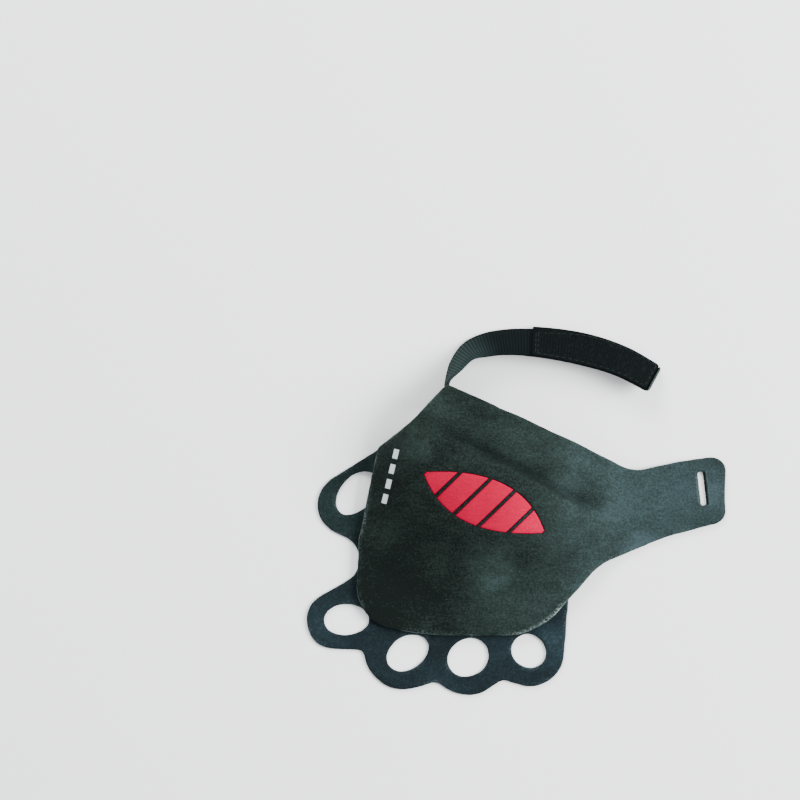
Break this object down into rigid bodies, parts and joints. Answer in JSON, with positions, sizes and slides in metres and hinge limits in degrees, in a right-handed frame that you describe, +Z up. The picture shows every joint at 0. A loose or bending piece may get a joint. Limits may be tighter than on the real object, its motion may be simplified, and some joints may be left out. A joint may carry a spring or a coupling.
{
  "type": "climbing glove",
  "caption": "Crack climbing glove laid open: rubbered back panel with an inlay over a die-cut layer with finger and thumb loops, a slotted wrist tab and a webbing strap",
  "frame": {"origin": "on the table, under the middle of the glove's footprint", "axes": "+Z up from the table; +X from the finger and thumb loops' side towards the slotted tab, the longest extent; +Y towards the wrist strap"},
  "size_m": [0.1802, 0.1592, 0.0225],
  "materials": {
    "panel_suede": "dark green-black rubbered suede, fine nap",
    "loop_suede": "thin blue-black microfibre suede",
    "inlay": "bright red brushed microfibre",
    "webbing": "ribbed black webbing",
    "grip": "black hook-and-loop tape"
  },
  "bodies": {
    "root": {"loop_layer": "loop_suede", "back_panel": "panel_suede", "inlay_1": "inlay", "inlay_2": "inlay", "inlay_3": "inlay", "inlay_4": "inlay", "inlay_5": "inlay", "wrist_strap": "webbing", "grip_patch": "grip"}
  },
  "joints": []
}
